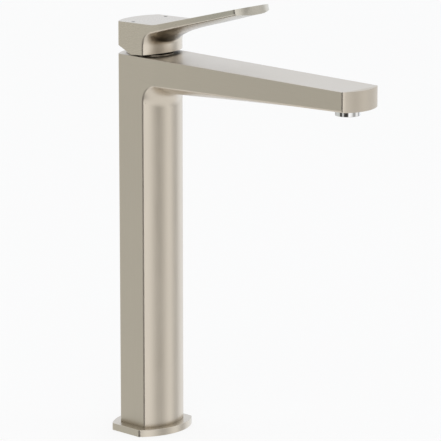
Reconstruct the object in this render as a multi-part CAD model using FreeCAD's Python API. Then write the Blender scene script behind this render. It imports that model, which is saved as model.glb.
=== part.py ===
import FreeCAD, Part
import math
import os

# Tall single-lever basin mixer with a long flat spout, in brushed nickel.
# Millimetres. Origin: centre of the column on the deck plane. +Z up, +X along the spout,
# so the lever and the outlet point to +X and the mixer is mirror-symmetric about the XZ plane.
# The column, the cap of the lever, the foot plate and both blade ends share one plan form:
# two flat flanks at +-Y and two bowed ends at +-X, with a small radius where they meet.

# ---- column and spout casting ----
column_half_width = 22.0       # centre to flat flank
column_half_flat = 13.2        # half length of a flat flank along X
column_bow = 7.6               # how far each end bulges past the flank's corner
corner_radius = 1.6            # where a flank meets a bowed end
edge_radius = 0.35             # broken top edges
end_corner_radius = 1.6        # upright corners at the ends of the spout and the lever
end_splay_deg = 6.0            # the cutting block's flanks stand this far off the bar's
body_top = 302.0               # deck to the top of the body and spout
underarm_radius = 12.0         # hollow between the column and the spout's underside
spout_reach = 219.0            # column axis to the corners of the spout's end
spout_tip_half_width = 19.5
spout_tip_bow = 6.4
spout_root_depth = 21.1        # height of the flank where the hollow ends
spout_tip_depth = 15.5
spout_tip_belly = 0.4          # bulge of the underside left at the end
spout_belly_power = 1.25       # how evenly the bulge fades along the spout
column_bore_radius = 17.0      # takes the valve body, and the supply hoses below it
top_lip_thickness = 4.0        # lip that stops the valve body from rising
top_lip_radius = 14.7
core_wall = 3.2                # wall of the column between the valve and the foot
core_land = 3.0                # solid metal kept past the bush and the lock ring
waterway_half_width = 8.0
waterway_roof = 4.5            # metal over the waterway at its outlet end
waterway_start = 16.0          # the waterway opens into the column bore here
waterway_root_height = 7.0     # height of the waterway where it opens
collar_clearance = 0.15

# ---- foot plate, its seal and the fixing bush ----
plate_thickness = 5.5
plate_half_width = 29.5
plate_half_flat = 15.0
plate_bow = 11.8
plate_corner_radius = 2.4
deck_seal_radius = 21.5        # middle of the seal's groove
deck_seal_width = 3.2
deck_seal_depth = 2.2
bush_top = 19.0                # top of the bush above the deck
bush_recess = 1.0              # its lower face stays above the deck
plate_bore_clearance = 0.3
stud_thread_radius = 3.4       # tapping bore for an M8 stud
stud_offset = 10.6
bush_back = 5.6                # the bush fills the bore in front of this plane only
hose_way_radius = 5.2          # hollow in the bush under each port, so that a hose goes straight up

# ---- valve body inside the column ----
valve_clearance = 0.05
valve_length = 48.0
chamber_radius = 12.6
seat_drop = 32.0               # body top down to the floor the cartridge stands on
nut_thread_radius = 14.0
nut_thread_length = 11.0       # from the body top down to the cartridge's shoulder
port_thread_radius = 4.5       # M10x1 tapping bore for a supply hose
port_thread_depth = 11.0
port_offset_x = 3.0
port_offset_y = 7.0
inlet_offset_x = 3.0
inlet_offset_y = 5.2
outlet_offset = -4.6
passage_radius = 2.0
riser_radius = 14.7            # middle of the crescent channel in the front wall
riser_half_thickness = 1.1
riser_half_angle = 32.0
riser_height_over_seat = 18.0
riser_depth_under_seat = 8.0
seal_groove_depth = 1.4
seal_groove_width = 2.0
lower_seal_height = 6.0        # above the bottom of the valve body
upper_seal_height = 44.6
lock_ring_height = 8.0
lock_ring_bore = 13.0

# ---- cartridge ----
housing_radius = 12.5
housing_wall = 1.2
shoulder_thickness = 2.0
neck_radius = 10.2
neck_wall = 1.2
neck_top_over_body = 2.3       # the neck stands above the body top
base_height = 5.0
fixed_disc_radius = 11.2
disc_port_radius = 1.8
disc_thickness = 3.3
film_gap = 0.04                # water film between the discs
moving_disc_radius = 9.5
moving_disc_rest = -1.6        # the moving disc starts behind the axis, which shuts the ports
carrier_height = 5.0
ball_socket_clearance = 0.12
ball_side_room = 0.3           # more room for the ball across the stem's swing
mixing_radius = 4.3            # hollow under the moving disc where hot and cold meet
mixing_tail_radius = 2.8       # its narrow end always reaches the outlet
mixing_tail_offset = 3.9
mixing_depth = 1.4
key_offset = 6.0               # two square keys turn the moving disc with its carrier
key_half = 1.0
key_height = 1.2
key_clearance = 0.1
seal_margin = 1.1              # rubber around each port
peg_offset = 10.4
peg_clearance = 0.05
peg_radius = 1.2
peg_length = 2.2
port_seal_thickness = 0.8
rotor_clearance = 0.08
rotor_drop = 0.2               # the rotor's top lies this far below the neck's
rotor_flange_height = 2.2
pivot_drop = 8.0               # body top down to the pivot pin
pin_radius = 1.5
pin_clearance = 0.03
pin_recess = 0.1               # the pin's ends lie inside the rotor's neck
stem_width = 7.0
stem_eye_depth = 3.0           # the wide part of the stem ends this far below the pin
stem_foot_width = 3.2
stem_ball_radius = 2.5
stem_arm = 9.0                 # pivot down to the ball
stem_top_over_body = 19.4
stem_side_clearance = 0.15
stem_swing_deg = 21.0          # room for the lever's lift in the rotor's slot

# ---- ring nut and the dome over it ----
nut_bore_clearance = 0.2
nut_head_radius = 15.8
nut_head_thickness = 1.4
nut_slots = 6
nut_slot_width = 3.0
nut_slot_depth = 2.2
dome_radius = 18.8
dome_top_radius = 10.7
dome_height = 4.6
dome_rim_height = 0.5
dome_wall = 0.8
dome_lip = 0.6                 # flat left round the dome's hole

# ---- lever handle ----
lever_angle_deg = 14.5         # rise of the blade
cap_height = 25.4              # body top to the top of the cap at its back corners
cap_top_slope = 0.030          # the cap's top rises gently to the front
gap_at_axis = 0.8
gap_at_front = 1.8
rear_cut_slope = 0.435         # relief under the back of the cap, so that the lever can lift
rear_cut_start = 0.5
armpit_radius = 12.0           # hollow between the skirt and the blade
blade_length = 90.0            # from the hollow to the corners of the blade's end
blade_root_thickness = 5.3
blade_tip_thickness = 4.3
blade_tip_half_width = 18.8
blade_tip_bow = 6.2
blade_bellies = [              # bulge of the underside at shares of the way from knee to tip
    (0.0, 5.0), (0.12, 3.9), (0.35, 3.1), (0.7, 2.9), (1.0, 2.4),
]
knee_setback = 0.5             # the bend in the top lies this far behind the hollow's centre
knee_length = 10.0             # the blade keeps its full width this far
knee_radius = 40.0             # soft bend between the cap's top and the blade
handle_wall = 2.0
cavity_ceiling = 18.0          # above the body top
boss_radius = 8.0
boss_bottom = 10.2             # above the body top
socket_clearance = 0.05
screw_radius = 2.5
screw_length = 5.0
screw_height = 14.6            # above the body top
screw_hex = 2.5                # across flats of the key
screw_hex_depth = 3.0
screw_hole_gap = 0.5           # the wider hole for the key stops this far behind the boss
plug_radius = 2.9
plug_length = 2.6
mark_radius = 1.5              # hot and cold marks let into the cap's top
mark_depth = 0.5
mark_offset_x = -1.0
mark_offset_y = 17.6

# ---- aerator ----
outlet_inset = 12.0            # from the corners of the spout's end back to the outlet
outlet_x = spout_reach - outlet_inset
collar_radius = 9.65
collar_height = 4.5
collar_lip = 0.5               # rounding of the collar's mouth
aerator_thread_radius = 9.0
aerator_thread_length = 5.5
aerator_bore_radius = 7.9
aerator_seal_height = 1.6
aerator_seal_bore = 6.7
aerator_grid_pitch = 2.6
aerator_grid_hole = 1.0
aerator_rim = 0.6              # plain rim left round the grid
aerator_insert_height = 8.0
aerator_insert_recess = 0.8

# ---- how cutting shapes are made ----
over = 1.0                     # a cut runs this far past the face that it opens
beyond = 60.0                  # a block that cuts a whole side away reaches this far
skin_depth = 4.0               # thickness of the bowed skin of a hollow, before it joins its core
skin_start = 3.0               # the core starts this far behind the skin's face

# ---- worked out from the sizes above ----
UP = FreeCAD.Vector(0, 0, 1)
ALONG_Y = FreeCAD.Vector(0, 1, 0)
ALONG_X = FreeCAD.Vector(1, 0, 0)
seat_z = body_top - seat_drop
lip_z = body_top - top_lip_thickness
valve_bottom = lip_z - valve_length
shoulder_z = body_top - nut_thread_length
riser_top = seat_z + riser_height_over_seat
pivot_z = body_top - pivot_drop
lever_angle = math.radians(lever_angle_deg)


def vec(x, y, z):
    return FreeCAD.Vector(x, y, z)


def save(name, shape):
    """Writes one sub-part to its STEP file."""
    shape.exportStep("parts/%s.step" % name)


def cylinder(radius, z_low, z_high, x=0.0, y=0.0):
    return Part.makeCylinder(radius, z_high - z_low, vec(x, y, z_low), UP)


def cylinder_x(radius, x_low, x_high, y, z):
    return Part.makeCylinder(radius, x_high - x_low, vec(x_low, y, z), ALONG_X)


def cylinder_y(radius, reach, z):
    """Cylinder across the column's axis, from -reach to +reach along Y."""
    return Part.makeCylinder(radius, 2 * reach, vec(0, -reach, z), ALONG_Y)


def ring(outer, inner, z_low, z_high):
    return cylinder(outer, z_low, z_high).cut(cylinder(inner, z_low - over, z_high + over))


def box(x_low, x_high, y_low, y_high, z_low, z_high):
    return Part.makeBox(x_high - x_low, y_high - y_low, z_high - z_low, vec(x_low, y_low, z_low))


def hexagon(across_flats, centre, direction, length):
    """Hexagonal prism for a key socket, starting at centre."""
    corner = across_flats / 2 / math.cos(math.radians(30))
    points = []
    for k in range(7):
        a = math.radians(60 * k)
        points.append(vec(0, corner * math.cos(a), corner * math.sin(a)) + centre)
    return Part.Face(Part.makePolygon(points)).extrude(direction * length)


def union(shapes):
    return shapes[0].multiFuse(shapes[1:]).removeSplitter()


def bow_marks(half, bow, radius):
    """Points of a bowed end in (out, across), out being 0 at the flanks' corners: where the
    corner radius leaves the flank, its middle, where it meets the bow, and the bow's middle."""
    big = (half * half + bow * bow) / (2 * bow)
    centre = bow - big
    small = centre + math.sqrt((big - radius) ** 2 - (half - radius) ** 2)
    away = math.hypot(small - centre, half - radius)
    out, across = (small - centre) / away, (half - radius) / away
    meets = (centre + big * out, big * across)
    bisector = math.hypot(out, across + 1)
    middle = (small + radius * out / bisector, half - radius + radius * (across + 1) / bisector)
    return (small, half), middle, meets, (bow, 0.0)


def bow_edges(half, bow, radius, place):
    """Edges of a bowed end from +half to -half; place turns (out, across) into a point."""
    leave, middle, meets, crown = bow_marks(half, bow, radius)
    other = [(p[0], -p[1]) for p in (meets, middle, leave)]
    return [
        Part.Arc(place(*leave), place(*middle), place(*meets)).toShape(),
        Part.Arc(place(*meets), place(*crown), place(*other[0])).toShape(),
        Part.Arc(place(*other[0]), place(*other[1]), place(*other[2])).toShape(),
    ]


def bowed_face(half, flat, bow, radius, z):
    """Plan outline with two flat flanks and two bowed ends."""
    front = bow_edges(half, bow, radius, lambda o, a: vec(flat + o, a, z))
    back = bow_edges(half, bow, radius, lambda o, a: vec(-flat - o, -a, z))
    near = Part.makeLine(front[-1].Vertexes[-1].Point, back[0].Vertexes[0].Point)
    far = Part.makeLine(back[-1].Vertexes[-1].Point, front[0].Vertexes[0].Point)
    return Part.Face(Part.Wire(front + [near] + back + [far]))


def bowed_prism(half, flat, bow, radius, z_low, z_high):
    return bowed_face(half, flat, bow, radius, z_low).extrude(UP * (z_high - z_low))


def bow_layer(half, depth, bow, radius, place):
    """Closed section of the layer behind a bowed face, depth thick."""
    edges = bow_edges(half, bow, radius, place)
    corners = [edges[-1].Vertexes[-1].Point, place(-depth, -half), place(-depth, half), edges[0].Vertexes[0].Point]
    lines = [Part.makeLine(corners[k], corners[k + 1]) for k in range(3)]
    return Part.Face(Part.Wire(edges + lines))


def bar_section(x, half, z_bottom, z_top, belly):
    """Section of a flat bar at x: flat top, flat flanks and a bowed underside."""
    place = lambda out, across: vec(x, across, z_bottom - out)
    edges = bow_edges(half, belly, corner_radius, place)
    r = edge_radius
    k = r * (1 - math.sqrt(0.5))
    points = [vec(x, -half, z_top - r), vec(x, -half + r, z_top), vec(x, half - r, z_top), vec(x, half, z_top - r)]
    low_far, low_near = edges[-1].Vertexes[-1].Point, edges[0].Vertexes[0].Point
    side_far = Part.makeLine(low_far, points[0])
    round_far = Part.Arc(points[0], vec(x, -half + k, z_top - k), points[1]).toShape()
    top = Part.makeLine(points[1], points[2])
    round_near = Part.Arc(points[2], vec(x, half - k, z_top - k), points[3]).toShape()
    side_near = Part.makeLine(points[3], low_near)
    return Part.Wire(edges + [side_far, round_far, top, round_near, side_near])


def end_trim(reach, half, bow, radius, splay, back, z_low, z_high):
    """Block that a bar is cut back to: a bowed end through (reach, +-half) with rounded corners,
    and flanks that leave the corners outwards by the angle splay, clear of the bar's own."""
    edges = bow_edges(half, bow, radius, lambda o, a: vec(reach + o, a, z_low))
    low, high = edges[-1].Vertexes[-1].Point, edges[0].Vertexes[0].Point
    wide = half + (high.x - back) * math.tan(math.radians(splay))
    points = [low, vec(back, -wide, z_low), vec(back, wide, z_low), high]
    lines = [Part.makeLine(points[k], points[k + 1]) for k in range(3)]
    return Part.Face(Part.Wire(edges + lines)).extrude(UP * (z_high - z_low))


# ---- column and spout ----
armpit_z = body_top - spout_root_depth - underarm_radius
spout_root_x = column_half_flat + underarm_radius


def spout_station(share):
    """Half width, underside, and belly of the spout at a share of its length."""
    half = column_half_width + (spout_tip_half_width - column_half_width) * share
    depth = spout_root_depth + (spout_tip_depth - spout_root_depth) * share
    fade = max(0.0, 1 - share ** spout_belly_power)
    belly = spout_tip_belly + (column_bow - spout_tip_belly) * fade
    return half, body_top - depth, belly


def make_spout_bar():
    length = spout_reach - spout_root_x
    past_end = (spout_tip_bow + over) / length
    sections = []
    for share in (0.0, 0.25, 0.5, 0.75, 1.0, 1.0 + past_end):
        half, underside, belly = spout_station(share)
        sections.append(bar_section(spout_root_x + share * length, half, underside, body_top, belly))
    bar = Part.makeLoft(sections, True, False)
    trim = end_trim(
        spout_reach, spout_tip_half_width, spout_tip_bow, end_corner_radius, end_splay_deg,
        0.0, body_top - beyond, body_top + beyond,
    )
    return bar.common(trim).Solids[0]


def make_hollow(centre_x, centre_z, radius, half, bow, turn_deg):
    """Bowed layer swept round the hollow between an upright and the bar that leaves it."""
    place = lambda out, across: vec(centre_x - radius + out, across, centre_z)
    layer = bow_layer(half, skin_depth, bow, corner_radius, place)
    return layer.revolve(vec(centre_x, 0, centre_z), ALONG_Y, turn_deg)


def make_spout_root():
    """Flat-sided core over the hollow, behind the bowed layer."""
    inner = underarm_radius + skin_start
    corner = inner * math.sqrt(0.5)
    arc = Part.Arc(
        vec(spout_root_x, 0, armpit_z + inner),
        vec(spout_root_x - corner, 0, armpit_z + corner),
        vec(spout_root_x - inner, 0, armpit_z),
    ).toShape()
    points = [
        vec(spout_root_x - inner, 0, armpit_z),
        vec(0, 0, armpit_z),
        vec(0, 0, body_top),
        vec(spout_root_x, 0, body_top),
        vec(spout_root_x, 0, armpit_z + inner),
    ]
    lines = [Part.makeLine(points[k], points[k + 1]) for k in range(4)]
    face = Part.Face(Part.Wire([arc] + lines))
    face.translate(vec(0, -column_half_width, 0))
    return face.extrude(ALONG_Y * (2 * column_half_width))


def make_waterway():
    """Channel in the spout from the column bore to the aerator."""
    sections = []
    root_low = riser_top - 2 * passage_radius
    tip_low = outlet_underside() + aerator_thread_length
    levels = [
        (waterway_start, root_low, root_low + waterway_root_height),
        (outlet_x + aerator_bore_radius, tip_low, body_top - waterway_roof),
    ]
    for x, low, high in levels:
        half = waterway_half_width
        corners = [vec(x, -half, low), vec(x, half, low), vec(x, half, high), vec(x, -half, high)]
        sections.append(Part.makePolygon(corners + corners[:1]))
    return Part.makeLoft(sections, True, True)


def make_body():
    column = bowed_prism(
        column_half_width, column_half_flat, column_bow, corner_radius, plate_thickness, body_top
    )
    hollow = make_hollow(spout_root_x, armpit_z, underarm_radius, column_half_width, column_bow, 90)
    outer = union([column, make_spout_root(), hollow, make_spout_bar()])
    bore = cylinder(column_bore_radius, plate_thickness - over, lip_z)
    core = bowed_prism(
        column_half_width - core_wall, column_half_flat, column_bow - core_wall, corner_radius,
        bush_top + core_land, valve_bottom - lock_ring_height - core_land,
    )
    mouth = cylinder(top_lip_radius, lip_z - over, body_top + over)
    seat = outlet_underside()
    socket_top = seat + aerator_thread_length + aerator_seal_height
    socket = cylinder(aerator_thread_radius, seat - collar_height, socket_top, outlet_x)
    collar_seat = cylinder(collar_radius + collar_clearance, seat - collar_height, seat, outlet_x)
    return outer.cut(core).cut(union([bore, mouth, make_waterway(), socket, collar_seat]))


def outlet_underside():
    """Lowest point of the spout's underside at the outlet, where the collar seats."""
    share = (outlet_x - spout_root_x) / (spout_reach - spout_root_x)
    half, underside, belly = spout_station(share)
    return underside - belly


# ---- foot ----
def make_base_plate():
    plate = bowed_prism(plate_half_width, plate_half_flat, plate_bow, plate_corner_radius, 0, plate_thickness)
    top_edges = [e for e in plate.Edges if min(v.Point.z for v in e.Vertexes) > plate_thickness - 1e-6]
    plate = plate.makeFillet(edge_radius, top_edges)
    half_groove = deck_seal_width / 2
    groove = ring(deck_seal_radius + half_groove, deck_seal_radius - half_groove, -over, deck_seal_depth)
    hole = cylinder(column_bore_radius + plate_bore_clearance, -over, plate_thickness + over)
    return plate.cut(groove).cut(hole)


def make_deck_seal():
    half = deck_seal_width / 2
    return ring(deck_seal_radius + half, deck_seal_radius - half, 0, deck_seal_depth)


def make_fixing_bush():
    """Segment of the bore with the stud's thread, hollowed under the ports and open behind for the hoses."""
    low, high, reach = bush_recess - over, bush_top + over, column_bore_radius + over
    bush = cylinder(column_bore_radius, bush_recess, bush_top)
    bush = bush.cut(box(-reach, bush_back, -reach, reach, low, high))
    for side in (-1, 1):
        bush = bush.cut(cylinder(hose_way_radius, low, high, port_offset_x, side * port_offset_y))
    return bush.cut(cylinder(stud_thread_radius, low, high, stud_offset))


# ---- valve body ----
def crescent(z_low, z_high):
    """Channel in the front wall of the valve body."""
    outer = riser_radius + riser_half_thickness
    tube = ring(outer, riser_radius - riser_half_thickness, z_low, z_high)
    a = math.radians(riser_half_angle)
    reach = column_bore_radius / math.cos(a)
    points = [
        vec(0, 0, z_low),
        vec(reach * math.cos(a), -reach * math.sin(a), z_low),
        vec(reach * math.cos(a), reach * math.sin(a), z_low),
        vec(0, 0, z_low),
    ]
    wedge = Part.Face(Part.makePolygon(points)).extrude(UP * (z_high - z_low))
    return tube.common(wedge)


def seal_levels():
    return [valve_bottom + lower_seal_height, valve_bottom + upper_seal_height]


def make_valve_body():
    outer = cylinder(column_bore_radius - valve_clearance, valve_bottom, lip_z)
    chamber = cylinder(chamber_radius, seat_z, lip_z + over)
    thread = cylinder(nut_thread_radius, shoulder_z, lip_z + over)
    cuts = [chamber, thread]
    port_top = valve_bottom + port_thread_depth
    for side in (-1, 1):
        y = side * port_offset_y
        cuts.append(cylinder(port_thread_radius, valve_bottom - over, port_top, port_offset_x, y))
        y = side * inlet_offset_y
        cuts.append(cylinder(passage_radius, port_top - over, seat_z + over, inlet_offset_x, y))
        cuts.append(cylinder(peg_radius, seat_z - peg_length, seat_z + over, 0, side * peg_offset))
    link_z = seat_z - riser_depth_under_seat + passage_radius
    cuts.append(cylinder(passage_radius, link_z, seat_z + over, outlet_offset))
    cuts.append(cylinder_x(passage_radius, outlet_offset, riser_radius, 0, link_z))
    cuts.append(crescent(seat_z - riser_depth_under_seat, riser_top))
    cuts.append(cylinder_x(passage_radius, riser_radius, column_bore_radius + over, 0, riser_top - passage_radius))
    body = outer
    for cut in cuts:
        body = body.cut(cut)
    for z in seal_levels():
        body = body.cut(ring(
            column_bore_radius + over, column_bore_radius - valve_clearance - seal_groove_depth,
            z - seal_groove_width / 2, z + seal_groove_width / 2,
        ))
    return body


def make_valve_seals():
    half = seal_groove_width / 2
    inner = column_bore_radius - valve_clearance - seal_groove_depth
    return Part.makeCompound([ring(column_bore_radius, inner, z - half, z + half) for z in seal_levels()])


def make_lock_ring():
    return ring(column_bore_radius, lock_ring_bore, valve_bottom - lock_ring_height, valve_bottom)


# ---- cartridge ----
port_places = [(inlet_offset_x, -inlet_offset_y), (inlet_offset_x, inlet_offset_y), (outlet_offset, 0)]
base_top = seat_z + base_height
fixed_top = base_top + disc_thickness
moving_low = fixed_top + film_gap
moving_top = moving_low + disc_thickness
carrier_top = moving_top + carrier_height
rotor_low = carrier_top + film_gap
neck_top = body_top + neck_top_over_body


def make_port_seals():
    """Three rubber rings let into the underside of the cartridge."""
    seals = []
    for x, y in port_places:
        outer = cylinder(passage_radius + seal_margin, seat_z, seat_z + port_seal_thickness, x, y)
        seals.append(outer.cut(cylinder(passage_radius, seat_z - over, base_top, x, y)))
    return seals


def make_cartridge_base():
    base = cylinder(housing_radius, seat_z, base_top)
    peg_low = seat_z - peg_length + 2 * peg_clearance
    for side in (-1, 1):
        base = base.fuse(cylinder(peg_radius - peg_clearance, peg_low, seat_z + over, 0, side * peg_offset))
    for x, y in port_places:
        base = base.cut(cylinder(passage_radius, seat_z - over, base_top + over, x, y))
        base = base.cut(cylinder(passage_radius + seal_margin, seat_z - over, seat_z + port_seal_thickness, x, y))
    return base


def make_fixed_disc():
    disc = cylinder(fixed_disc_radius, base_top, fixed_top)
    for x, y in port_places:
        disc = disc.cut(cylinder(disc_port_radius, base_top - over, fixed_top + over, x, y))
    return disc


def make_moving_disc():
    disc = cylinder(moving_disc_radius, moving_low, moving_top, moving_disc_rest)
    low, high = moving_low - over, moving_low + mixing_depth
    tail_x = moving_disc_rest - mixing_tail_offset
    recess = union([
        cylinder(mixing_radius, low, high, moving_disc_rest),
        cylinder(mixing_tail_radius, low, high, tail_x),
        box(tail_x, moving_disc_rest, -mixing_tail_radius, mixing_tail_radius, low, high),
    ])
    disc = disc.cut(recess)
    for side in (-1, 1):
        y = side * key_offset
        disc = disc.cut(box(
            moving_disc_rest - key_half, moving_disc_rest + key_half, y - key_half, y + key_half,
            moving_top - key_height, moving_top + over,
        ))
    return disc


def make_disc_carrier():
    disc = cylinder(moving_disc_radius, moving_top, carrier_top, moving_disc_rest)
    for side in (-1, 1):
        y, key = side * key_offset, key_half - key_clearance
        disc = disc.fuse(box(
            moving_disc_rest - key, moving_disc_rest + key, y - key, y + key,
            moving_top - key_height + key_clearance, moving_top + over,
        ))
    half = stem_ball_radius + ball_socket_clearance
    side = half + ball_side_room
    socket = box(-half, half, -side, side, pivot_z - stem_arm - half, carrier_top + over)
    return disc.cut(socket)


def make_housing():
    outer = cylinder(housing_radius, base_top, shoulder_z).fuse(cylinder(neck_radius, base_top, neck_top))
    room = cylinder(housing_radius - housing_wall, base_top - over, shoulder_z - shoulder_thickness)
    neck_bore = cylinder(neck_radius - neck_wall, base_top - over, neck_top + over)
    return outer.cut(room).cut(neck_bore)


def stem_slot(extra):
    """Room that the stem sweeps as the lever lifts, widened by extra."""
    swing = math.radians(stem_swing_deg)
    half = stem_width / 2 + extra
    up, down = neck_top + over - pivot_z, pivot_z - rotor_low + over
    wide = half / math.cos(swing)
    corners = [
        (half, pivot_z + up), (-up * math.tan(swing) - wide, pivot_z + up), (-wide, pivot_z),
        (-half, pivot_z - down), (down * math.tan(swing) + wide, pivot_z - down), (wide, pivot_z),
    ]
    wire = Part.makePolygon([vec(x, -half, z) for x, z in corners + corners[:1]])
    return Part.Face(wire).extrude(ALONG_Y * (2 * half))


def make_rotor():
    flange = cylinder(housing_radius - housing_wall - rotor_clearance, rotor_low, rotor_low + rotor_flange_height)
    neck = cylinder(neck_radius - neck_wall - rotor_clearance, rotor_low, neck_top - rotor_drop)
    rotor = flange.fuse(neck).cut(stem_slot(stem_side_clearance))
    return rotor.cut(cylinder_y(pin_radius, neck_radius, pivot_z))


def make_pivot_pin():
    reach = math.sqrt((neck_radius - neck_wall - rotor_clearance) ** 2 - pin_radius ** 2) - pin_recess
    return cylinder_y(pin_radius, reach, pivot_z)


def make_stem():
    half = stem_width / 2
    top = body_top + stem_top_over_body
    shaft = box(-half, half, -half, half, pivot_z - stem_eye_depth, top)
    foot_half = stem_foot_width / 2
    foot = box(-foot_half, foot_half, -foot_half, foot_half, pivot_z - stem_arm, pivot_z - stem_eye_depth + over)
    ball = Part.makeSphere(stem_ball_radius, vec(0, 0, pivot_z - stem_arm))
    return union([shaft, foot, ball]).cut(cylinder_y(pin_radius + pin_clearance, stem_width, pivot_z))


def make_nut():
    thread = cylinder(nut_thread_radius, shoulder_z, body_top)
    head = cylinder(nut_head_radius, body_top, body_top + nut_head_thickness)
    head_top = body_top + nut_head_thickness
    nut = thread.fuse(head).cut(cylinder(neck_radius + nut_bore_clearance, shoulder_z - over, head_top + over))
    half = nut_slot_width / 2
    for k in range(nut_slots):
        slot = box(nut_head_radius - nut_slot_depth, nut_head_radius + over, -half, half, body_top, head_top + over)
        slot.rotate(vec(0, 0, 0), UP, 360.0 * k / nut_slots)
        nut = nut.cut(slot)
    return nut


def make_dome():
    """Thin spherical cover over the nut, with a short upright rim on the body's top."""
    def shell(r_low, r_top, z_low, z_top):
        rise = z_top - z_low
        centre = (z_low + z_top) / 2 - (r_low ** 2 - r_top ** 2) / (2 * rise)
        big = math.hypot(r_low, z_low - centre)
        mid_r = (r_low + r_top) / 2
        mid = vec(mid_r, 0, centre + math.sqrt(big * big - mid_r * mid_r))
        arc = Part.Arc(vec(r_low, 0, z_low), mid, vec(r_top, 0, z_top)).toShape()
        points = [(r_top, z_top), (0, z_top), (0, body_top), (r_low, body_top), (r_low, z_low)]
        points = [vec(r, 0, z) for r, z in points]
        lines = [Part.makeLine(points[k], points[k + 1]) for k in range(4)]
        return Part.Face(Part.Wire([arc] + lines)).revolve(vec(0, 0, 0), UP, 360)
    rim = body_top + dome_rim_height
    outer = shell(dome_radius, dome_top_radius + dome_lip, rim, body_top + dome_height)
    inner = shell(dome_radius - dome_wall, dome_top_radius, rim, body_top + dome_height - dome_wall)
    inner = inner.fuse(cylinder(dome_top_radius, body_top, body_top + dome_height + over))
    return outer.cut(inner)


# ---- lever handle ----
cap_back_z = body_top + cap_height
cavity_top = body_top + cavity_ceiling


def cap_top(x):
    return cap_back_z + cap_top_slope * (x + column_half_flat)


blade_centre_x = column_half_flat + armpit_radius
blade_top = armpit_radius + blade_root_thickness
knee_x = blade_centre_x - knee_setback
knee_along = (blade_top * math.sin(lever_angle) - knee_setback) / math.cos(lever_angle)
blade_centre_z = cap_top(knee_x) - blade_top * math.cos(lever_angle) - knee_along * math.sin(lever_angle)


def on_blade(along, over):
    """Point of the XZ plane at a distance along the blade and over the hollow's centre."""
    c, s = math.cos(lever_angle), math.sin(lever_angle)
    return vec(blade_centre_x + along * c - over * s, 0, blade_centre_z + along * s + over * c)


def make_blade():
    length = blade_length - knee_length
    past_end = (blade_tip_bow + over) / length
    sections = []
    for share, depth in blade_bellies + [(1.0 + past_end, blade_bellies[-1][1])]:
        half = column_half_width + (blade_tip_half_width - column_half_width) * share
        thick = blade_root_thickness + (blade_tip_thickness - blade_root_thickness) * share
        sections.append(bar_section(knee_length + share * length, half, blade_top - thick, blade_top, depth))
    bar = Part.makeLoft(sections, True, False)
    trim = end_trim(
        blade_length, blade_tip_half_width, blade_tip_bow, end_corner_radius, end_splay_deg,
        0.0, -beyond, beyond,
    )
    return bar.common(trim).Solids[0]


def make_blade_root_belly():
    """Bowed underside from the end of the hollow to the tapering blade."""
    sections = []
    for along, depth in ((0.0, column_bow), (knee_length, blade_bellies[0][1])):
        place = lambda out, across: vec(along, across, armpit_radius - out)
        sections.append(bow_layer(column_half_width, skin_depth, depth, corner_radius, place).OuterWire)
    return Part.makeLoft(sections, True, True)


def put_on_blade(shape):
    """Moves a shape from the blade's own frame, x along it and z up, to its place."""
    shape = shape.copy()
    shape.rotate(vec(0, 0, 0), ALONG_Y, -lever_angle_deg)
    shape.translate(vec(blade_centre_x, 0, blade_centre_z))
    return shape


def make_cap_core():
    """Flat-sided core of the cap and knee, over the hollow."""
    inner = armpit_radius + skin_start
    top = blade_top
    turn = math.radians(90) - lever_angle
    half_turn = math.radians(180) - turn / 2
    arc = Part.Arc(
        on_blade(0, inner),
        vec(blade_centre_x + inner * math.cos(half_turn), 0, blade_centre_z + inner * math.sin(half_turn)),
        vec(blade_centre_x - inner, 0, blade_centre_z),
    ).toShape()
    slope = math.atan(cap_top_slope)
    bend = lever_angle - slope
    tangent = knee_radius * math.tan(bend / 2)
    knee = on_blade(knee_along, top)
    start = vec(knee.x - tangent * math.cos(slope), 0, knee.z - tangent * math.sin(slope))
    end = on_blade(knee_along + tangent, top)
    chord_mid = (start + end) * 0.5
    toward = (chord_mid - knee).normalize()
    sag = knee_radius * (1 / math.cos(bend / 2) - 1)
    bend_arc = Part.Arc(start, knee + toward * sag, end).toShape()
    points = [
        vec(blade_centre_x - inner, 0, blade_centre_z),
        vec(0, 0, blade_centre_z),
        vec(0, 0, cap_top(0)),
        start,
    ]
    lines = [Part.makeLine(points[k], points[k + 1]) for k in range(3)]
    lines.append(Part.makeLine(end, on_blade(knee_length, top)))
    lines.append(Part.makeLine(on_blade(knee_length, top), on_blade(knee_length, inner)))
    lines.append(Part.makeLine(on_blade(knee_length, inner), on_blade(0, inner)))
    face = Part.Face(Part.Wire(Part.__sortEdges__([arc, bend_arc] + lines)))
    face.translate(vec(0, -column_half_width, 0))
    return face.extrude(ALONG_Y * (2 * column_half_width))


def cap_side_profile():
    """Side view of the cap: sloping top, nearly level lower edge and the relief at the back."""
    reach = column_half_flat + column_bow + over
    rear_low = body_top + gap_at_axis + rear_cut_slope * (reach + rear_cut_start)
    front_slope = (gap_at_front - gap_at_axis) / (column_half_flat - rear_cut_start)
    front_low = body_top + gap_at_axis + front_slope * (reach - rear_cut_start)
    points = [
        vec(-reach, 0, rear_low), vec(rear_cut_start, 0, body_top + gap_at_axis),
        vec(reach, 0, front_low), vec(reach, 0, cap_top(reach)), vec(-reach, 0, cap_top(-reach)),
    ]
    face = Part.Face(Part.makePolygon(points + points[:1]))
    half = column_half_width + over
    face.translate(vec(0, -half, 0))
    return face.extrude(ALONG_Y * (2 * half))


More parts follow.
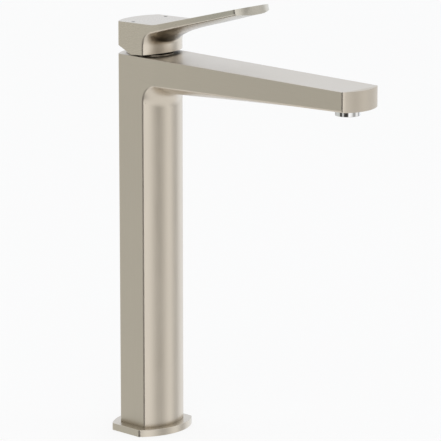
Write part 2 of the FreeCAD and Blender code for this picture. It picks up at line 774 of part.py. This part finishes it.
def make_handle():
    cap = bowed_prism(
        column_half_width, column_half_flat, column_bow, corner_radius, body_top, body_top + beyond
    ).common(cap_side_profile())
    below = box(-beyond, blade_centre_x, -beyond, beyond, body_top, blade_centre_z)
    above = box(-beyond, column_half_flat - over, -beyond, beyond, blade_centre_z, body_top + beyond)
    cap = cap.common(union([below, above]))
    hollow = make_hollow(
        blade_centre_x, blade_centre_z, armpit_radius, column_half_width, column_bow, 90 - lever_angle_deg
    )
    root = put_on_blade(make_blade_root_belly())
    outer = union([cap, make_cap_core(), hollow, root, put_on_blade(make_blade())])
    cavity = bowed_prism(
        column_half_width - handle_wall, column_half_flat, column_bow - handle_wall, corner_radius,
        body_top - over, cavity_top,
    )
    boss = cylinder(boss_radius, body_top + boss_bottom, cavity_top + over)
    half = stem_width / 2 + socket_clearance
    socket = box(-half, half, -half, half, body_top, body_top + stem_top_over_body)
    thread = cylinder_x(screw_radius, -boss_radius - over, 0, 0, body_top + screw_height)
    access = cylinder_x(plug_radius, -beyond, -boss_radius - screw_hole_gap, 0, body_top + screw_height)
    handle = outer.cut(cavity.cut(boss)).cut(union([socket, thread])).cut(access)
    for side in (-1, 1):
        handle = handle.cut(mark_blank(side, mark_depth))
    return handle


def mark_blank(side, depth):
    """Shallow round pocket in the sloping top of the cap."""
    low = cap_top(mark_offset_x) - depth
    return cylinder(mark_radius, low, low + depth + over, mark_offset_x, side * mark_offset_y)


def make_marks():
    """Enamel dots that fill the pockets flush with the cap's top."""
    profile = cap_side_profile()
    return Part.makeCompound([mark_blank(side, mark_depth).common(profile) for side in (-1, 1)])


def make_set_screw():
    z = body_top + screw_height
    tip = -stem_width / 2
    screw = cylinder_x(screw_radius, tip - screw_length, tip, 0, z)
    return screw.cut(hexagon(screw_hex, vec(tip - screw_length, 0, z), ALONG_X, screw_hex_depth))


def make_screw_plug():
    z = body_top + screw_height
    outline = bowed_prism(column_half_width, column_half_flat, column_bow, corner_radius, body_top, cap_back_z)
    back = column_half_flat + column_bow
    plug = cylinder_x(plug_radius, -back - over, -back + plug_length, 0, z)
    return plug.common(outline)


# ---- aerator ----
def make_aerator_housing():
    low = outlet_underside() - collar_height
    seat = outlet_underside()
    top = seat + aerator_thread_length
    body = cylinder(collar_radius, low, seat, outlet_x)
    rim = [e for e in body.Edges if abs(e.Vertexes[0].Point.z - low) < 1e-6]
    body = body.makeFillet(collar_lip, rim)
    body = body.fuse(cylinder(aerator_thread_radius, seat - over, top, outlet_x))
    return body.cut(cylinder(aerator_bore_radius, low - over, top + over, outlet_x))


def make_aerator_insert():
    """Plastic flow insert: a cup with a grid of round outlets."""
    low = outlet_underside() - collar_height + aerator_insert_recess
    high = low + aerator_insert_height
    insert = cylinder(aerator_bore_radius, low, high, outlet_x)
    holes = []
    rows = int(aerator_bore_radius / aerator_grid_pitch)
    for i in range(-rows, rows + 1):
        for j in range(-rows, rows + 1):
            x = (i + 0.5 * (j % 2)) * aerator_grid_pitch
            y = j * aerator_grid_pitch * math.sqrt(0.75)
            if math.hypot(x, y) < aerator_bore_radius - aerator_grid_hole - aerator_rim:
                holes.append(cylinder(aerator_grid_hole, low - over, high + over, outlet_x + x, y))
    return insert.cut(Part.makeCompound(holes))


def make_aerator_seal():
    low = outlet_underside() + aerator_thread_length
    high = low + aerator_seal_height
    seal = cylinder(aerator_thread_radius, low, high, outlet_x)
    return seal.cut(cylinder(aerator_seal_bore, low - over, high + over, outlet_x))


def main():
    os.makedirs("parts", exist_ok=True)
    save("body", make_body())
    save("base_plate", make_base_plate())
    save("deck_seal", make_deck_seal())
    save("fixing_bush", make_fixing_bush())
    save("valve_body", make_valve_body())
    save("valve_seals", make_valve_seals())
    save("lock_ring", make_lock_ring())
    save("port_seals", Part.makeCompound(make_port_seals()))
    save("cartridge_base", make_cartridge_base())
    save("fixed_disc", make_fixed_disc())
    save("moving_disc", make_moving_disc())
    save("disc_carrier", make_disc_carrier())
    save("cartridge_housing", make_housing())
    save("rotor", make_rotor())
    save("pivot_pin", make_pivot_pin())
    save("stem", make_stem())
    save("ring_nut", make_nut())
    save("nut_dome", make_dome())
    save("handle", make_handle())
    save("set_screw", make_set_screw())
    save("screw_plug", make_screw_plug())
    save("hot_cold_marks", make_marks())
    save("aerator_housing", make_aerator_housing())
    save("aerator_insert", make_aerator_insert())
    save("aerator_seal", make_aerator_seal())


main()
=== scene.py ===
import math

import bmesh
import bpy
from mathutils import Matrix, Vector


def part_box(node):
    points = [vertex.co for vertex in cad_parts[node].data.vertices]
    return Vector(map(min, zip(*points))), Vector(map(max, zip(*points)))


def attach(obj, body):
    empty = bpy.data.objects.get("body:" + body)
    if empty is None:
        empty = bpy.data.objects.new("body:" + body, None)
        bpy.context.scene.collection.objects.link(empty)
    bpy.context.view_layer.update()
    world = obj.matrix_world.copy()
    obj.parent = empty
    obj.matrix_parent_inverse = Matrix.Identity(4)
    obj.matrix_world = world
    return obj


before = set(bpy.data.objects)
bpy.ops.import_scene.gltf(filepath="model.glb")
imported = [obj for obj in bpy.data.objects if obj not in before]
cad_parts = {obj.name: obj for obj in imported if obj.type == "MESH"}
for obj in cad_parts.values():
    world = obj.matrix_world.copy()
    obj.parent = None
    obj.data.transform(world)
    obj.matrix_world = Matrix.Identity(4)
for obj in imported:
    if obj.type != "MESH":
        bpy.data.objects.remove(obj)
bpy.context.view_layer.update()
scene = bpy.context.scene
scene.view_settings.view_transform = "Standard"

# ---------------------------------------------------------------------------
# Camera. A long lens, nearly three metres away and a little above the top of
# the mixer, looking at it over the corner between its side and its front.
camera_target = Vector((0.07587, 0.0, 0.17987))
camera_azimuth = math.radians(44.297)
camera_elevation = math.radians(12.964)
camera_distance = 2.6935
camera_back = Vector((
    math.sin(camera_azimuth) * math.cos(camera_elevation),
    -math.cos(camera_azimuth) * math.cos(camera_elevation),
    math.sin(camera_elevation),
))
camera = bpy.data.objects.new("camera", bpy.data.cameras.new("camera"))
camera.data.sensor_width = 36.0
camera.data.lens = 285.7
camera.location = camera_target + camera_back * camera_distance
camera.rotation_euler = camera_back.to_track_quat("Z", "Y").to_euler()
scene.collection.objects.link(camera)
scene.camera = camera

# ---------------------------------------------------------------------------
# Floor. White studio paper that keeps a faint shadow of the mixer. Polished
# metal looks past it, to the screens that stand all round.
floor_half = 30.0
floor_gap = 0.0004
floor_mesh = bpy.data.meshes.new("floor")
floor_corners = [(x * floor_half, y * floor_half, 0) for x, y in ((-1, -1), (1, -1), (1, 1), (-1, 1))]
floor_mesh.from_pydata(floor_corners, [], [(0, 1, 2, 3)])
floor = bpy.data.objects.new("floor", floor_mesh)
floor.location.z = -floor_gap
scene.collection.objects.link(floor)


def feed(tree, node, given):
    """Gives each named input of a node a plain value, or joins it to another node's output."""
    for name, value in given.items():
        if isinstance(value, bpy.types.NodeSocket):
            tree.links.new(value, node.inputs[name])
        else:
            node.inputs[name].default_value = value


def add_node(tree, kind, given=None, **settings):
    """Adds a node with these settings and feeds its inputs."""
    node = tree.nodes.new("ShaderNode" + kind)
    for name, setting in settings.items():
        setattr(node, name, setting)
    feed(tree, node, given or {})
    return node


paper_white = (0.92, 0.92, 0.92, 1)
paper_lift = 0.82
floor_paper = bpy.data.materials.new("studio paper")
floor_paper.use_nodes = True
tree = floor_paper.node_tree
tree.nodes.clear()
paper = add_node(tree, "BsdfDiffuse", {"Color": paper_white}).outputs["BSDF"]
glow = add_node(tree, "Emission", {"Strength": 1.0}).outputs["Emission"]
lifted = add_node(tree, "MixShader", {"Fac": paper_lift, 1: paper, 2: glow}).outputs["Shader"]
rays = add_node(tree, "LightPath").outputs
seen = add_node(tree, "MixShader", {"Fac": rays["Is Camera Ray"], 1: paper, 2: lifted}).outputs["Shader"]
clear = add_node(tree, "BsdfTransparent").outputs["BSDF"]
mirrored = add_node(tree, "MixShader", {"Fac": rays["Is Glossy Ray"], 1: seen, 2: clear}).outputs["Shader"]
add_node(tree, "OutputMaterial", {"Surface": mirrored})
floor_mesh.materials.append(floor_paper)

# ---------------------------------------------------------------------------
# Screens. Tall white, grey and black cloths stand round the mixer and are what
# its satin metal mirrors. The world draws them by their bearing, from +X to +Y.
black_flag = (0.06, 0.055, 0.05)
screen_colours = [
    (-180, (0.72, 0.72, 0.70)), (-140, (0.71, 0.715, 0.675)), (-125, (0.69, 0.695, 0.65)),
    (-118, black_flag), (-102, black_flag), (-95, (0.74, 0.73, 0.71)), (-86, (0.74, 0.73, 0.71)),
    (-79, black_flag), (-48, black_flag), (-37, (1.24, 1.23, 1.21)), (-20, (1.16, 1.15, 1.13)),
    (10, (0.42, 0.41, 0.39)), (43, (1.15, 1.14, 1.12)), (65, (0.50, 0.50, 0.50)),
    (86, (1.12, 1.14, 1.17)), (112, (1.08, 1.12, 1.17)), (136, (0.93, 0.97, 1.04)),
    (160, (0.90, 0.92, 0.96)), (180, (0.72, 0.72, 0.70)),
]
ceiling_white = (0.90, 0.92, 0.95, 1)
ground_white = (0.97, 0.96, 0.94, 1)
# How steeply a direction points up or down, as its Z, where a screen gives way.
ceiling_from = (0.40, 0.85)
screen_foot = (-0.34, -0.62)
flag_foot = (-0.60, -0.80)


def spread(tree, value, given, wanted=(0, 1), eased=True):
    """Number that goes through the range wanted as value goes through the range given."""
    return add_node(tree, "MapRange", {
        "Value": value, "From Min": given[0], "From Max": given[1], "To Min": wanted[0], "To Max": wanted[1],
    }, interpolation_type="SMOOTHSTEP" if eased else "LINEAR").outputs["Result"]


def between(tree, factor, first, second, kind="RGBA"):
    """Colour, number or vector that goes from first to second as factor goes from 0 to 1."""
    return add_node(tree, "Mix", {"Factor": factor, "A": first, "B": second}, data_type=kind).outputs["Result"]


world = bpy.data.worlds.new("studio")
scene.world = world
world.use_nodes = True
tree = world.node_tree
tree.nodes.clear()
direction = add_node(tree, "TexCoord").outputs["Generated"]
points = add_node(tree, "SeparateXYZ", {"Vector": direction}).outputs
bearing = add_node(tree, "Math", {0: points["Y"], 1: points["X"]}, operation="ARCTAN2").outputs["Value"]
turn = spread(tree, bearing, (-math.pi, math.pi), eased=False)
screens = add_node(tree, "ValToRGB", {"Fac": turn})
screens.color_ramp.interpolation = "EASE"
ramp = screens.color_ramp.elements
while len(ramp) < len(screen_colours):
    ramp.new(0.5)
for stop, (angle, colour) in zip(ramp, screen_colours):
    stop.position = (angle + 180) / 360
    stop.color = (*colour, 0 if colour == black_flag else 1)
overhead = spread(tree, points["Z"], ceiling_from)
under_screen = spread(tree, points["Z"], screen_foot)
under_flag = spread(tree, points["Z"], flag_foot)
underfoot = between(tree, screens.outputs["Alpha"], under_flag, under_screen, "FLOAT")
round_about = between(tree, overhead, screens.outputs["Color"], ceiling_white)
mirrored = between(tree, underfoot, round_about, ground_white)
studio = add_node(tree, "Background", {"Color": mirrored, "Strength": 1.0}).outputs["Background"]
white = add_node(tree, "Background", {"Color": (1, 1, 1, 1)}).outputs["Background"]
rays = add_node(tree, "LightPath").outputs
backdrop = add_node(tree, "MixShader", {"Fac": rays["Is Camera Ray"], 1: studio, 2: white}).outputs["Shader"]
add_node(tree, "OutputWorld", {"Surface": backdrop})

# ---------------------------------------------------------------------------
# Lamp. One large soft box, high over the side that faces the camera, and
# turned to the middle of the mixer.
lamp_place = Vector((1.4, -1.9, 2.4))
lamp_aim = Vector((0.08, 0, 0.18))
lamp = bpy.data.objects.new("soft box", bpy.data.lights.new("soft box", "AREA"))
lamp.data.size = 1.6
lamp.data.energy = 12.0
lamp.location = lamp_place
lamp.rotation_euler = (lamp_place - lamp_aim).to_track_quat("Z", "Y").to_euler()
scene.collection.objects.link(lamp)


# ---------------------------------------------------------------------------
# Column and spout. One hollow brass casting, ground, brushed up the column
# and out along the spout, and coated with warm grey nickel. Brushing leaves
# hair-fine scratches whose depth and gloss change from stroke to stroke.
def new_group(name, takes, gives):
    """Node group with these inputs and outputs, the inputs' own sockets, and the node for its results."""
    group = bpy.data.node_groups.new(name, "ShaderNodeTree")
    for in_out, sockets in (("INPUT", takes), ("OUTPUT", gives)):
        for socket, kind in sockets.items():
            group.interface.new_socket(socket, in_out=in_out, socket_type="NodeSocket" + kind)
    return group, group.nodes.new("NodeGroupInput").outputs, group.nodes.new("NodeGroupOutput")


brushing, taken, results = new_group(
    "brushing strokes",
    {"Point": "Vector", "Stretch": "Vector", "Gloss Low": "Float", "Gloss High": "Float"},
    {"Depth": "Float", "Roughness": "Float", "Tone": "Float"},
)
drawn_out = add_node(
    brushing, "VectorMath", {0: taken["Point"], 1: taken["Stretch"]}, operation="MULTIPLY"
).outputs["Vector"]
scratches = add_node(
    brushing, "TexNoise", {"Vector": drawn_out, "Scale": 1.0, "Detail": 4.0, "Roughness": 0.65}
).outputs["Fac"]
patches = add_node(
    brushing, "TexNoise", {"Vector": taken["Point"], "Scale": 24.0, "Detail": 2.0}
).outputs["Fac"]
share_of_patches = 0.35
both = between(brushing, share_of_patches, scratches, patches, "FLOAT")
gloss = spread(brushing, both, (0.35, 0.65), (taken["Gloss Low"], taken["Gloss High"]), eased=False)
feed(brushing, results, {"Depth": scratches, "Roughness": gloss, "Tone": both})


def brush(tree, point, stretch, gloss):
    """Strokes of the brush on one piece, with its roughness between the two numbers of gloss."""
    return add_node(tree, "Group", {
        "Point": point, "Stretch": stretch, "Gloss Low": gloss[0], "Gloss High": gloss[1],
    }, node_tree=brushing).outputs


# Painted shade in corners: a group that darkens a metal's colour towards a given dark colour where ambient
# occlusion finds nearby surfaces, standing in for the shade that falls there.
corner_shading, taken, results = new_group(
    "painted shade in corners",
    {"Metal": "Color", "Painted Shade": "Color", "Reach": "Float", "Open": "Float", "Closed": "Float"},
    {"Color": "Color"},
)
shelter = add_node(corner_shading, "AmbientOcclusion", {"Distance": taken["Reach"]}, samples=12).outputs["AO"]
shade_share = spread(corner_shading, shelter, (taken["Open"], taken["Closed"]))
feed(corner_shading, results, {"Color": between(corner_shading, shade_share, taken["Metal"], taken["Painted Shade"])})


def new_finish(name, metallic=0.0):
    """Material, its nodes, its shader, and the place of each point of the piece that wears it."""
    finish = bpy.data.materials.new(name)
    finish.use_nodes = True
    tree = finish.node_tree
    shader = tree.nodes["Principled BSDF"]
    shader.inputs["Metallic"].default_value = metallic
    return finish, tree, shader, add_node(tree, "TexCoord").outputs["Object"]


def duller_end(tree, roughness, along, edge, extra):
    """Roughness of a bar brushed across its end face: it grows by extra where along passes the edge."""
    end_face = spread(tree, along, edge, (0, extra))
    return add_node(tree, "Math", {0: roughness, 1: end_face}, operation="ADD").outputs["Value"]


def bumped(tree, height, strength, depth):
    """Normal of a surface with fine relief, whose depth is in metres."""
    return add_node(tree, "Bump", {"Height": height, "Strength": strength, "Distance": depth}).outputs["Normal"]


def dress(finish, *pieces):
    """Gives the finish to CAD nodes."""
    for piece in pieces:
        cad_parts[piece].material_slots[0].material = finish


nickel_shade = (0.585, 0.528, 0.448, 1)
nickel_light = (0.705, 0.650, 0.570, 1)
painted_corner_shade = (0.245, 0.205, 0.145, 1)
strokes_along = 42          # to the metre, in the brush's direction
strokes_across = 3200
spout_turn = (0.266, 0.282)     # height at which the brush turns from the column to the spout
spout_edge = (0.2194, 0.2212)   # just past the corners of the spout's end
scratch_strength = 0.30
scratch_depth = 0.00002
casting_nickel, tree, shader, place = new_finish("brushed nickel on casting", 1.0)
away = add_node(tree, "SeparateXYZ", {"Vector": place}).outputs
stretch = between(
    tree, spread(tree, away["Z"], spout_turn),
    (strokes_across, strokes_across, strokes_along), (strokes_along, strokes_across, strokes_across), "VECTOR",
)
strokes = brush(tree, place, stretch, (0.28, 0.39))
# Painted shade: the nickel's colour darkens towards a dark brown where ambient occlusion finds corners and
# recesses, such as the column's foot.
shaded_colour = add_node(tree, "Group", {
    "Metal": between(tree, strokes["Tone"], nickel_shade, nickel_light), "Painted Shade": painted_corner_shade,
    "Reach": 0.015, "Open": 0.80, "Closed": 0.35,
}, node_tree=corner_shading).outputs["Color"]
feed(tree, shader, {
    "Base Color": shaded_colour,
    "Roughness": duller_end(tree, strokes["Roughness"], away["X"], spout_edge, 0.17),
    "Normal": bumped(tree, strokes["Depth"], scratch_strength, scratch_depth),
})
dress(casting_nickel, "body")

# ---------------------------------------------------------------------------
# Underarm. The corner between the column and the spout is dressed to one
# radius all along its bow, then brushed and coated with the rest of the casting.
_, (_, flank, body_top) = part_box("body")
underarm_radius = 0.0140
underarm_sunk = 0.00006     # the arc starts and ends this deep in the casting
flank_cover = 0.00002       # its ends stand this far off the flanks
front_bow = 0.0076
upright_radius = 0.0016     # rounding between a flank and the front
flank_end = 0.0132          # where the flank ends and the front's bow begins
root_x = 0.0252
root_z = body_top - 0.0211  # height of the spout's underside, at root_x
underside_rise = 0.029      # its slope, and how much steeper the middle of the bow is
belly_fade = 0.020
bedding = 0.003
upright_steps, bow_steps, turn_steps = 10, 56, 28

# Plan of the column's front from flank to flank, as (out, across).
half_width = flank + flank_cover
bow_radius = (half_width ** 2 + front_bow ** 2) / (2 * front_bow)
bow_centre = front_bow - bow_radius
upright_across = half_width - upright_radius
upright_out = bow_centre + math.sqrt((bow_radius - upright_radius) ** 2 - upright_across ** 2)
meeting = math.atan2(upright_across, upright_out - bow_centre)
upright = []
for step in range(upright_steps):
    turn = math.pi / 2 + (meeting - math.pi / 2) * step / upright_steps
    upright.append((
        upright_out + upright_radius * math.cos(turn), upright_across + upright_radius * math.sin(turn)
    ))
crown = []
for step in range(bow_steps + 1):
    turn = meeting - 2 * meeting * step / bow_steps
    crown.append((bow_centre + bow_radius * math.cos(turn), bow_radius * math.sin(turn)))
outline = upright + crown + [(out, -across) for out, across in reversed(upright)]

# At each point of the plan, an arc from the column up to the spout, and one
# point inside the metal that closes the piece.
corners = []
for out, across in outline:
    slope = math.atan(underside_rise + belly_fade * max(out, 0) / front_bow)
    centre_x = flank_end + out - underarm_sunk + underarm_radius
    lift = math.sin(slope) * (centre_x - root_x) - underarm_radius + underarm_sunk
    centre_z = root_z - out + lift / math.cos(slope)
    for step in range(turn_steps + 1):
        turn = (math.pi / 2 - slope) * step / turn_steps
        x = centre_x - underarm_radius * math.cos(turn)
        corners.append((x, across, centre_z + underarm_radius * math.sin(turn)))
    corners.append((flank_end + out - bedding, across, root_z - out + bedding))
row = turn_steps + 2
last = (len(outline) - 1) * row
faces = []
for start in range(0, last, row):
    for step in range(row):
        beside = (step + 1) % row
        faces.append((start + step, start + beside, start + row + beside, start + row + step))
for start in (0, last):
    faces += [(start + row - 1, start + step, start + step + 1) for step in range(turn_steps)]
underarm_mesh = bpy.data.meshes.new("underarm")
underarm_mesh.from_pydata(corners, [], faces)
solid = bmesh.new()
solid.from_mesh(underarm_mesh)
bmesh.ops.recalc_face_normals(solid, faces=solid.faces)
solid.to_mesh(underarm_mesh)
solid.free()
for face in underarm_mesh.polygons:
    face.use_smooth = face.index < last and face.index % row < turn_steps
underarm = bpy.data.objects.new("underarm", underarm_mesh)
scene.collection.objects.link(underarm)
underarm_mesh.materials.append(casting_nickel)
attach(underarm, "mixer")

# ---------------------------------------------------------------------------
# Foot plate. A flat brass pressing under the column, coated to match it and
# brushed in one direction, along the bowed ends' chord.
plate_shade = (0.580, 0.525, 0.445, 1)
plate_light = (0.700, 0.648, 0.568, 1)
plate_nickel, tree, shader, place = new_finish("brushed nickel on foot plate", 1.0)
strokes = brush(tree, place, (3000, strokes_along, 3000), (0.26, 0.36))
feed(tree, shader, {
    "Base Color": between(tree, strokes["Tone"], plate_shade, plate_light),
    "Roughness": strokes["Roughness"],
    "Normal": bumped(tree, strokes["Depth"], scratch_strength, scratch_depth),
})
dress(plate_nickel, "base_plate")

# ---------------------------------------------------------------------------
# Lever. A zinc casting: a hollow cap over the cartridge and a thin blade. It
# is brushed along the blade and across its end, and turns greyer near the tip.
# Its underside gets painted shade, darker where ambient occlusion finds corners.
blade_rise = math.radians(14.5)
tip_grey = (0.575, 0.560, 0.500, 1)
tip_grey_from = (0.045, 0.095)      # distance from the column's axis over which it dulls
painted_underside_shade = (0.060, 0.048, 0.030, 1)
facing_down = (-0.22, -0.62)    # the normal's Z over which a side becomes an underside
blade_edge = (0.1126, 0.1144)   # just past the corners of the blade's end
lever_nickel, tree, shader, place = new_finish("brushed nickel on lever", 1.0)
along_blade = add_node(tree, "Mapping", {"Vector": place, "Rotation": (0, blade_rise, 0)}).outputs["Vector"]
strokes = brush(tree, along_blade, (strokes_along, 3400, 3400), (0.24, 0.35))
away = add_node(tree, "SeparateXYZ", {"Vector": place}).outputs
# Towards the tip, the colour is mixed three quarters of the way to a greyer tone.
tip_toned = between(
    tree, spread(tree, away["X"], tip_grey_from, (0, 0.75)),
    between(tree, strokes["Tone"], nickel_shade, nickel_light), tip_grey,
)
# Painted shade on the underside: where a face points down, its colour is darkened towards a near-black brown,
# most where ambient occlusion finds nearby surfaces.
shaded_colour = add_node(tree, "Group", {
    "Metal": tip_toned, "Painted Shade": painted_underside_shade, "Reach": 0.022, "Open": 0.88, "Closed": 0.42,
}, node_tree=corner_shading).outputs["Color"]
facing = add_node(tree, "NewGeometry").outputs["Normal"]
tilt = add_node(tree, "SeparateXYZ", {"Vector": facing}).outputs["Z"]
feed(tree, shader, {
    "Base Color": between(tree, spread(tree, tilt, facing_down), tip_toned, shaded_colour),
    "Roughness": duller_end(tree, strokes["Roughness"], away["X"], blade_edge, 0.22),
    "Normal": bumped(tree, strokes["Depth"], scratch_strength, scratch_depth),
})
dress(lever_nickel, "handle")


# ---------------------------------------------------------------------------
# Hot and cold marks. Two small dots let into the cap's top, filled with dark
# grey enamel that sits flush with the metal.
def speckle(tree, place, scale, detail):
    """Fine uneven pattern of a finish that has no direction."""
    return add_node(tree, "TexNoise", {"Vector": place, "Scale": scale, "Detail": detail}).outputs["Fac"]


def mottle(tree, shader, pattern, colours, roughness, given=(0, 1)):
    """Lays a pattern on the shader: from one colour to the other, and through a range of roughness."""
    feed(tree, shader, {
        "Base Color": between(tree, pattern, *colours),
        "Roughness": spread(tree, pattern, given, roughness, eased=False),
    })


enamel_colours = (0.014, 0.013, 0.012, 1), (0.026, 0.025, 0.024, 1)
enamel, tree, shader, place = new_finish("grey enamel")
shader.inputs["Specular IOR Level"].default_value = 0.10
mottle(tree, shader, speckle(tree, place, 2600.0, 3.0), enamel_colours, (0.42, 0.58))
dress(enamel, "hot_cold_marks")

# ---------------------------------------------------------------------------
# Cover dome. A thin spun cap over the ring nut, polished and chromed, seen
# through the gap under the lever's cap. Spinning leaves faint rings. Its
# colour is darkened to a mottled brown: painted shade for the gap under the cap.
painted_shade_dome_colours = (0.46, 0.42, 0.365, 1), (0.34, 0.305, 0.26, 1)
film_range = (0.35, 0.75)
spun_chrome, tree, shader, place = new_finish("spun chrome", 1.0)
rings = add_node(
    tree, "TexWave", {"Vector": place, "Scale": 420.0, "Distortion": 1.2, "Detail": 2.0},
    wave_type="RINGS", rings_direction="Z",
).outputs["Fac"]
mottle(tree, shader, speckle(tree, place, 180.0, 3.0), painted_shade_dome_colours, (0.16, 0.30), film_range)
feed(tree, shader, {"Normal": bumped(tree, rings, 0.12, 0.00001)})
dress(spun_chrome, "nut_dome")

# ---------------------------------------------------------------------------
# Aerator. A turned and chromed collar screwed into the underside of the
# spout's end, round a pale acetal insert that mixes air into the stream.
collar_colours = (0.80, 0.80, 0.81, 1), (0.72, 0.72, 0.72, 1)
collar_chrome, tree, shader, place = new_finish("turned chrome", 1.0)
tool_marks = add_node(
    tree, "TexWave", {"Vector": place, "Scale": 900.0, "Distortion": 0.4},
    wave_type="BANDS", bands_direction="Z",
).outputs["Fac"]
mottle(tree, shader, speckle(tree, place, 320.0, 4.0), collar_colours, (0.05, 0.18), film_range)
feed(tree, shader, {"Normal": bumped(tree, tool_marks, 0.10, 0.00001)})
dress(collar_chrome, "aerator_housing")

acetal_colours = (0.62, 0.63, 0.63, 1), (0.74, 0.74, 0.73, 1)
acetal, tree, shader, place = new_finish("acetal insert")
mottle(tree, shader, speckle(tree, place, 420.0, 5.0), acetal_colours, (0.38, 0.55))
dress(acetal, "aerator_insert")

# ---------------------------------------------------------------------------
# Machined brass: the valve body with its lock ring, the ring nut, the block
# with the fixing stud's thread, and the stem under the lever. The cutting tool
# leaves fine turned rings, and the bare metal tarnishes.
brass_colours = (0.74, 0.56, 0.27, 1), (0.50, 0.35, 0.16, 1)
turned_brass, tree, shader, place = new_finish("turned brass", 1.0)
tool_marks = add_node(
    tree, "TexWave", {"Vector": place, "Scale": 700.0, "Distortion": 0.6, "Detail": 2.0},
    wave_type="BANDS", bands_direction="Z",
).outputs["Fac"]
mottle(tree, shader, speckle(tree, place, 90.0, 5.0), brass_colours, (0.22, 0.46))
feed(tree, shader, {"Normal": bumped(tree, tool_marks, 0.25, 0.00002)})
dress(turned_brass, "valve_body", "lock_ring", "ring_nut", "fixing_bush", "stem")

# ---------------------------------------------------------------------------
# Stainless steel: the pin that the lever rocks on and the grub screw that
# clamps the lever to the stem. Ground bright, with short fine scratches.
steel_shade = (0.48, 0.48, 0.49, 1)
steel_light = (0.66, 0.66, 0.67, 1)
ground_steel, tree, shader, place = new_finish("ground steel", 1.0)
strokes = brush(tree, place, (2400, 2400, 2400), (0.20, 0.34))
feed(tree, shader, {
    "Base Color": between(tree, strokes["Tone"], steel_shade, steel_light),
    "Roughness": strokes["Roughness"],
})
dress(ground_steel, "pivot_pin", "set_screw")

# ---------------------------------------------------------------------------
# Rubber: the ring under the foot plate that seals it to the deck, the two
# rings round the valve body, the port rings under the cartridge, and the
# washer over the aerator. Black nitrile with a dull moulded skin.
nitrile_colours = (0.016, 0.016, 0.017, 1), (0.034, 0.034, 0.035, 1)
nitrile, tree, shader, place = new_finish("black nitrile")
bloom = speckle(tree, place, 700.0, 5.0)
mottle(tree, shader, bloom, nitrile_colours, (0.58, 0.78))
feed(tree, shader, {"Normal": bumped(tree, bloom, 0.25, 0.00004)})
dress(nitrile, "deck_seal", "valve_seals", "port_seals", "aerator_seal")

# ---------------------------------------------------------------------------
# Cartridge. Its base, housing, carrier and rotor are moulded in grey glass-
# filled plastic, whose fibres show as a fine fleck under a satin skin.
fleck_colours = (0.150, 0.152, 0.156, 1), (0.100, 0.101, 0.104, 1)
filled_plastic, tree, shader, place = new_finish("glass-filled plastic")
fibres = add_node(tree, "TexVoronoi", {"Vector": place, "Scale": 900.0}).outputs["Distance"]
mottle(tree, shader, fibres, fleck_colours, (0.36, 0.52))
dress(filled_plastic, "cartridge_base", "cartridge_housing", "disc_carrier", "rotor")

# ---------------------------------------------------------------------------
# Ceramic discs. Two white alumina discs lapped flat, so that one slides on
# the other with only a film of grease between them.
alumina_colours = (0.80, 0.79, 0.76, 1), (0.88, 0.87, 0.85, 1)
alumina, tree, shader, place = new_finish("lapped alumina")
mottle(tree, shader, speckle(tree, place, 1500.0, 3.0), alumina_colours, (0.12, 0.24))
dress(alumina, "fixed_disc", "moving_disc")

# ---------------------------------------------------------------------------
# Screw plug. A push-in plastic button that closes the grub screw's hole in
# the back of the cap, moulded in a grey close to the nickel.
plug_colours = (0.255, 0.235, 0.205, 1), (0.315, 0.292, 0.258, 1)
plug_plastic, tree, shader, place = new_finish("nickel-grey plastic")
mottle(tree, shader, speckle(tree, place, 1200.0, 3.0), plug_colours, (0.34, 0.48))
dress(plug_plastic, "screw_plug")
